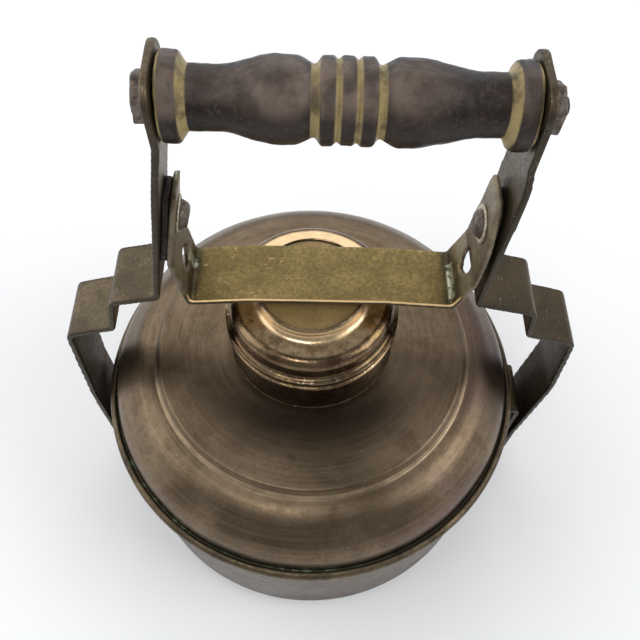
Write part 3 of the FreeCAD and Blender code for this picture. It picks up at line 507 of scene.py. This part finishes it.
def wrinkled_lacquer(name):
    """Dark lacquer on turned wood: leathery wrinkles, a painted highlight with hand rubbing on its upper
    front, and yellow residue in every groove.
    """
    finish = Finish(name, 0.0, 0.36)
    along = finish.math("ADD", finish.math("MULTIPLY", finish.x, GRIP_AXIS.x),
                        finish.math("MULTIPLY", finish.z, GRIP_AXIS.z))
    reach = finish.math("ABSOLUTE", finish.math("SUBTRACT", along, GRIP_MIDDLE.dot(GRIP_AXIS)))
    wrinkle = finish.noise(620, 5, 0.62, 1.2)
    lumps = finish.noise(260, 3, 0.5, 0.6)
    broad = finish.noise(80, 3, 0.5, 0.6)
    colour = finish.blend(finish.remap(broad, 0.35, 0.65), (0.012, 0.008, 0.0065), (0.026, 0.017, 0.013))
    colour = finish.blend(finish.remap(wrinkle, 0.50, 0.70, 0.0, 0.7), colour, (0.060, 0.041, 0.031))
    colour = finish.blend(finish.remap(wrinkle, 0.42, 0.30, 0.0, 0.7), colour, (0.012, 0.008, 0.007))
    # Painted highlight on the grip's upper front, where the hand also rubs, weaker towards the right-hand
    # end.
    up = finish.math("SUBTRACT", finish.z, GRIP_MIDDLE.z)
    palm_highlight = finish.math("ADD", finish.math("MULTIPLY", finish.y, -0.45), finish.math("MULTIPLY", up, 0.89))
    palm_highlight = finish.remap(palm_highlight, *PALM_HIGHLIGHT)
    rub_and_highlight = finish.math("MULTIPLY", palm_highlight, finish.remap(finish.noise(140, 4, 0.6), 0.32, 0.62, 0.35, 1.0))
    rub_and_highlight = finish.math("MULTIPLY", rub_and_highlight, finish.remap(along, 12 * MM, 24 * MM, 1.0, 0.45))
    colour = finish.blend(rub_and_highlight, colour, (0.150, 0.108, 0.084))
    grooves = 0.0
    for centre, half_width in GRIP_GROOVES:
        here = finish.band(reach, centre, half_width, 0.35 * MM)
        grooves = here if grooves == 0.0 else finish.math("MAXIMUM", grooves, here)
    patchy = finish.remap(finish.noise(150, 4, 0.65), 0.34, 0.56, 0.25, 1.0)
    residue = finish.math("MULTIPLY", grooves, patchy)
    colour = finish.blend(residue, colour, (0.330, 0.255, 0.112))
    finish.shader.inputs["Specular IOR Level"].default_value = 0.24
    roughness = finish.remap(wrinkle, 0.3, 0.7, 0.28, 0.46)
    height = finish.math("ADD", wrinkle, lumps)
    normal = finish.bump(height, 0.22 * MM)
    return finish.finish(colour, roughness, normal)


def plain_brass(name):
    """Clean turned brass of the hidden fittings."""
    finish = Finish(name, 1.0, 0.28)
    rings = finish.noise(1.0, 2, 0.5, 0.0, finish.polar(2500, 2500, 0.5))
    colour = finish.blend(finish.remap(rings, 0.3, 0.7), (0.55, 0.41, 0.19), (0.70, 0.55, 0.28))
    roughness = finish.remap(finish.noise(500, 3), 0.3, 0.7, 0.2, 0.36)
    return finish.finish(colour, roughness, finish.bump(rings, 0.03 * MM))


def oiled_leather(name):
    finish = Finish(name, 0.0, 0.6)
    grain = finish.cells(1400)
    broad = finish.remap(finish.noise(150, 4), 0.3, 0.7)
    colour = finish.blend(broad, (0.10, 0.055, 0.03), (0.19, 0.11, 0.06))
    return finish.finish(colour, finish.remap(grain, 0.0, 0.8, 0.5, 0.7), finish.bump(grain, 0.10 * MM))


def plaited_cotton(name):
    """Cream cotton wick: crossed strands from two slanting waves."""
    finish = Finish(name, 0.0, 0.85)
    angle = finish.math("ARCTAN2", finish.y, finish.x)
    climb = finish.math("MULTIPLY", finish.z, 2600)
    one = finish.math("SINE", finish.math("ADD", climb, finish.math("MULTIPLY", angle, 6)))
    two = finish.math("SINE", finish.math("SUBTRACT", climb, finish.math("MULTIPLY", angle, 6)))
    weave = finish.math("MAXIMUM", one, two)
    colour = finish.blend(finish.remap(weave, -0.5, 1.0), (0.42, 0.36, 0.27), (0.78, 0.73, 0.62))
    char = finish.remap(finish.z, *WICK_CHAR)
    colour = finish.blend(char, colour, (0.05, 0.04, 0.035))
    return finish.finish(colour, None, finish.bump(weave, 0.3 * MM))


# ---------------------------------------------------------------------------------------------
# Reservoir and cap: spun shells
# ---------------------------------------------------------------------------------------------
def outline_mm(corners):
    return [tuple(number * MM for number in corner) for corner in corners]


def make_bowl():
    outer = 72.4
    rim = RIM_Z / MM
    flange = BOWL_FLANGE / MM
    return lathe("bowl_shell", outline_mm([
        (0, 0, 0),
        (outer, 0, 9.0),
        (outer, rim - 0.8, 0.4),
        (flange, rim - 0.8, 0.2),
        (flange, rim, 0),
        (outer - 1, rim, 0.4),
        (outer - 1, 1, 8.0),
        (0, 1, 0),
    ]), dent=0.22 * MM, dent_size=0.045, seed=3.0)


def make_dome():
    seat = DOME_FOOT_Z / MM
    crown = CROWN_Z / MM
    flange = BOWL_FLANGE / MM
    return lathe("dome_shell", outline_mm([
        (70.9, seat, 0),
        (flange, seat, 0.2),
        (flange, seat + 0.8, 0.2),
        (71.9, seat + 0.8, 0.3),
        (70.8, 75.9, 14.0),
        (60.9, 86.2, 14.0),
        (54.9, 87.6, 1.1),
        (52.7, 90.6, 1.4),
        (28.6, crown, 6.0),
        (24.0, crown, 0),
        (24.0, crown - 1, 0),
        (28.6, crown - 1, 6.0),
        (52.1, 89.6, 1.2),
        (54.3, 86.6, 0.9),
        (60.5, 85.2, 13.0),
        (69.8, 75.3, 13.0),
    ]), longest=1.6 * MM, dent=0.25 * MM, dent_size=0.038, seed=11.0)


def make_rim():
    outer = RIM_HIGH.x / MM
    low = RIM_LOW.z / MM
    high = RIM_HIGH.z / MM
    middle = RIM_Z / MM
    return lathe("rolled_rim", outline_mm([
        (72.7, middle + 0.9, 0),
        (73.8, middle + 0.9, 0),
        (73.8, middle - 0.85, 0),
        (72.7, middle - 0.85, 0),
        (72.7, low, 0.4),
        (outer, low, 1.9),
        (outer, high, 1.9),
        (72.7, high, 0.5),
    ]), longest=0.7 * MM, segments=360, dent=0.10 * MM, dent_size=0.012, seed=5.0)


def make_neck():
    seat = CROWN_Z / MM
    low = NECK_LOW.z / MM
    top = NECK_HIGH.z / MM
    collar_top = CAP_LOW.z / MM - 0.4
    corners = [
        (21.4, low, 0.2),
        (23.95, low, 0.2),
        (23.95, seat, 0),
        (27.35, seat + 0.02, 0.15),
        (27.35, seat + 0.9, 0.4),
        (27.0, seat + 1.3, 0.3),
        (27.0, collar_top, 0.6),
        (23.0, collar_top, 0.2),
    ]
    pitch = 1.8
    for ridge in range(3):
        root = collar_top + pitch * ridge + 2.0
        corners.append((23.0, root, 0.1))
        corners.append((23.6, root + pitch * 0.5, 0.2))
        corners.append((23.0, root + pitch * 0.95, 0.1))
    corners.append((23.0, top, 0.4))
    corners.append((21.4, top, 0.4))
    return lathe("neck_tube", outline_mm(corners), longest=1.0 * MM, dent=0.05 * MM, dent_size=0.02)


def make_cap_shell():
    top = CAP_HIGH.z / MM
    low = CAP_LOW.z / MM
    bead = CAP_HIGH.x / MM
    disc_low = top - 1.4
    return lathe("cap_spinning", outline_mm([
        (13.8, disc_low - 1.1, 0.1),
        (13.8, disc_low, 0.1),
        (16.42, disc_low, 0.15),
        (16.42, top, 0.3),
        (17.2, top, 0.45),
        (17.2, 124.0, 2.6),
        (26.4, 122.6, 3.6),
        (25.9, low + 6.5, 1.0),
        (26.8, low + 6.0, 0.3),
        (bead, low + 5.7, 0.5),
        (bead, low + 4.3, 0.5),
        (27.1, low + 3.6, 0.2),
        (27.1, low + 2.3, 0.2),
        (bead, low + 1.9, 0.4),
        (bead, low + 0.5, 0.4),
        (26.8, low, 0.2),
        (25.7, low, 0.2),
        (25.7, low + 4.6, 0.2),
        (24.8, low + 5.2, 0.3),
        (25.1, 121.1, 2.6),
        (16.3, 122.9, 2.0),
        (16.3, disc_low - 1.1, 0.1),
    ]), longest=0.7 * MM, segments=300, dent=0.22 * MM, dent_size=0.014, seed=8.0)


def make_cap_disc():
    low, high = (corner.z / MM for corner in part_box("cap_disc"))
    return lathe("cap_inset", outline_mm([
        (0, low, 0),
        (16.35, low, 0.1),
        (16.35, high, 0.3),
        (0, high, 0),
    ]), longest=1.0 * MM, segments=160, dent=0.10 * MM, dent_size=0.018, seed=2.0)


# ---------------------------------------------------------------------------------------------
# Grip: turned along its sloping axis, with a slightly lumpy skin
# ---------------------------------------------------------------------------------------------
def make_grip():
    length = GRIP_LENGTH / MM
    middle = length / 2
    half = [
        (FLANGE / MM, 0, 0.9),
        (FLANGE / MM, 3.9, 1.2),
        (6.95, 5.5, 0.8),
        (6.95, middle - 27.0, 18.0),
        (9.4, middle - 16.0, 12.0),
        (9.4, middle - 11.0, 4.0),
        (7.5, middle - 7.0, 0.8),
        (9.4, middle - 5.5, 0.9),
        (9.4, middle - 3.2, 0.8),
        (8.6, middle - 2.15, 0.3),
        (9.4, middle - 1.1, 0.9),
    ]
    mirrored = [(radius, length - place, rounding) for radius, place, rounding in half[::-1]]
    corners = [(2.48, 0, 0)] + half + mirrored + [(2.48, length, 0)]
    grip = lathe("turned_grip", outline_mm(corners), longest=0.4 * MM, segments=320,
                 dent=0.28 * MM, dent_size=0.006, seed=6.0)
    start = GRIP_MIDDLE - GRIP_AXIS * (GRIP_LENGTH / 2)
    grip.data.transform(Matrix.Translation(start) @ GRIP_AXIS.to_track_quat("Z", "Y").to_matrix().to_4x4())
    return grip


def worked(node, voxel, passes, dent, dent_size):
    """Soften a CAD node's sharp edges and give its faces the slight waviness of bent sheet."""
    piece = NODES[node]
    even = piece.modifiers.new("even_mesh", "REMESH")
    even.mode = "VOXEL"
    even.voxel_size = voxel
    even.use_smooth_shade = True
    soft = piece.modifiers.new("worn_edges", "SMOOTH")
    soft.factor = 0.5
    soft.iterations = passes
    ripple = bpy.data.textures.new(f"{node}_ripple", "CLOUDS")
    ripple.noise_scale = dent_size
    ripple.noise_depth = 2
    dents = piece.modifiers.new("dents", "DISPLACE")
    dents.texture = ripple
    dents.texture_coords = "LOCAL"
    dents.mid_level = 0.5
    dents.strength = dent


def wear(material, *names):
    for name in names:
        piece = bpy.data.objects[name]
        piece.data.materials.clear()
        piece.data.materials.append(material)
        piece.material_slots[0].link = "DATA"


STAND_INS = (
    (make_bowl, "reservoir", "reservoir_bowl", "patinated_copper"),
    (make_dome, "reservoir", "reservoir_dome", "patinated_copper"),
    (make_rim, "reservoir", "rim_seam", "seam_brass"),
    (make_neck, "reservoir", "filler_neck", "cap_bronze"),
    (make_cap_shell, "cap", "cap_shell", "cap_bronze"),
    (make_cap_disc, "cap", "cap_disc", "olive_brass"),
    (make_grip, "grip", "grip", "lacquered_wood"),
)
for make, body, node, slot in STAND_INS:
    shape = make()
    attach(shape, body)
    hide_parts(node)

for strap in ("arm_left", "arm_right", "crossbar"):
    worked(strap, 0.42 * MM, 3, 0.25 * MM, 0.012)
for fastener in ("ear_rivet_left", "ear_rivet_right", "handle_bolt", "handle_nut"):
    worked(fastener, 0.24 * MM, 6, 0.6 * MM, 0.003)
for small_part in ("ear_washer_left", "ear_washer_right", "pivot_pin_left", "pivot_pin_right",
                   "pivot_bracket_left", "pivot_bracket_right", "ear_spacer_left", "ear_spacer_right"):
    worked(small_part, 0.25 * MM, 3, 0.15 * MM, 0.003)

wear(patinated_copper("patinated_copper_skin", RIM_HIGH.z), "bowl_shell", "dome_shell")
wear(seam_brass("rolled_rim_brass"), "rolled_rim")
wear(cap_metal("cap_brown_brass", 1.0, 0.12), "cap_spinning")
# The neck wears the cap's finish at 0.55 brightness: painted shade.
wear(cap_metal("neck_brass_painted_shade", 0.55, 0.24), "neck_tube")
wear(olive_brass("olive_sheet", CROSS_FLOOR, FOLDS), "crossbar")
wear(disc_brass("cap_disc_sheet"), "cap_inset")
wear(strap_metal("strap_tarnish"), "arm_left", "arm_right", "pivot_bracket_left", "pivot_bracket_right")
wear(browned_steel("fastener_oxide", (0.075, 0.058, 0.047), (0.19, 0.155, 0.127)), "ear_rivet_left",
     "ear_rivet_right", "handle_bolt", "handle_nut", "pivot_pin_left", "pivot_pin_right")
wear(browned_steel("washer_zinc", (0.48, 0.41, 0.31), (0.68, 0.60, 0.46)), "ear_washer_left",
     "ear_washer_right")
wear(browned_steel("spacer_oxide", (0.020, 0.015, 0.013), (0.055, 0.043, 0.036)), "ear_spacer_left",
     "ear_spacer_right")
wear(wrinkled_lacquer("wrinkled_lacquer"), "turned_grip")
wear(plain_brass("inner_brass_turning"), "wick_plate", "wick_tube", "cap_thread_ring")
wear(oiled_leather("gasket_hide"), "cap_gasket")
wear(plaited_cotton("plaited_cotton"), "wick")


# ---------------------------------------------------------------------------------------------
# Floor, lights and camera
# ---------------------------------------------------------------------------------------------
def make_floor():
    half = 3.0
    corners = [(-half, -half, 0), (half, -half, 0), (half, half, 0), (-half, half, 0)]
    floor = mesh_piece("studio_floor", corners, [(0, 1, 2, 3)])
    paint = Finish("studio_paper", 0.0, 0.9)
    tone = paint.remap(paint.noise(2, 2), 0.2, 0.8)
    wear(paint.finish(paint.blend(tone, (0.90, 0.90, 0.90), (0.92, 0.92, 0.92))), "studio_floor")


def softbox(name, place, aim, width, height, watts):
    light = bpy.data.lights.new(name, "AREA")
    light.shape = "RECTANGLE"
    light.size = width
    light.size_y = height
    light.energy = watts
    lamp = bpy.data.objects.new(name, light)
    lamp.location = place
    lamp.rotation_mode = "QUATERNION"
    lamp.rotation_quaternion = (Vector(aim) - Vector(place)).to_track_quat("-Z", "Y")
    bpy.context.scene.collection.objects.link(lamp)


def make_lights():
    """Wide soft panels behind, beside and above the burner, all aimed at its rim."""
    middle = (0, 0, RIM_Z)
    softbox("panel_back", (0, 1.35, 1.0), middle, 2.2, 1.2, 9)
    softbox("panel_left", (-1.25, 0.15, 0.80), middle, 1.7, 1.3, 10)
    softbox("panel_right", (1.20, -0.30, 0.85), middle, 0.8, 1.0, 8)
    softbox("panel_front", (-0.25, -0.62, 1.30), middle, 0.45, 0.30, 3.4)


SKY_STRENGTH = 0.66
# Direction component, where its fade starts and ends, and what is left of the sky there
OVERHEAD = (2, 0.88, 0.98, 0.35)
IN_FRONT = (1, -0.15, -0.60, 0.60)


def make_sky():
    """A dim even sky that is darker overhead and in front."""
    world = bpy.data.worlds.new("studio")
    world.use_nodes = True
    tree = world.node_tree
    facing = tree.nodes.new("ShaderNodeTexCoord").outputs["Generated"]
    split = tree.nodes.new("ShaderNodeSeparateXYZ")
    tree.links.new(facing, split.inputs[0])
    strength = None
    for axis, start, end, low in (OVERHEAD, IN_FRONT):
        fade = tree.nodes.new("ShaderNodeMapRange")
        fade.interpolation_type = "SMOOTHSTEP"
        fade.inputs["From Min"].default_value = start
        fade.inputs["From Max"].default_value = end
        fade.inputs["To Min"].default_value = 1.0
        fade.inputs["To Max"].default_value = low
        tree.links.new(split.outputs[axis], fade.inputs["Value"])
        product = tree.nodes.new("ShaderNodeMath")
        product.operation = "MULTIPLY"
        tree.links.new(fade.outputs["Result"], product.inputs[0])
        if strength is None:
            product.inputs[1].default_value = SKY_STRENGTH
        else:
            tree.links.new(strength, product.inputs[1])
        strength = product.outputs[0]
    backdrop = tree.nodes["Background"]
    backdrop.inputs["Color"].default_value = (0.93, 0.96, 1.0, 1)
    tree.links.new(strength, backdrop.inputs["Strength"])
    bpy.context.scene.world = world


# The camera's turn, its lens in mm, and its place measured from the middle of the rim
PITCH = math.radians(59.6)
ROLL = math.radians(1.42)
YAW = math.radians(0.92)
LENS = 39.4
SENSOR = 36
REACH = 265.5 * MM
SIDE_STEP = 3.2 * MM
RISE = 20.0 * MM


def make_camera():
    """Camera above and in front of the burner, looking down at the middle of its rim."""
    forward = Vector((math.sin(YAW) * math.cos(PITCH), math.cos(YAW) * math.cos(PITCH), -math.sin(PITCH)))
    level = Vector((math.cos(YAW), -math.sin(YAW), 0))
    upright = level.cross(forward)
    right = level * math.cos(ROLL) + upright * math.sin(ROLL)
    up = right.cross(forward)
    camera = bpy.data.cameras.new("studio_camera")
    camera.lens = LENS
    camera.sensor_width = SENSOR
    camera.clip_start = 0.01
    holder = bpy.data.objects.new("studio_camera", camera)
    place = Vector((0, 0, RIM_Z)) + right * SIDE_STEP + up * RISE - forward * REACH
    turn = Matrix((right, up, -forward)).transposed()
    holder.matrix_world = Matrix.Translation(place) @ turn.to_4x4()
    bpy.context.scene.collection.objects.link(holder)
    bpy.context.scene.camera = holder


make_floor()
make_lights()
make_sky()
make_camera()
bpy.context.scene.view_settings.view_transform = "Standard"
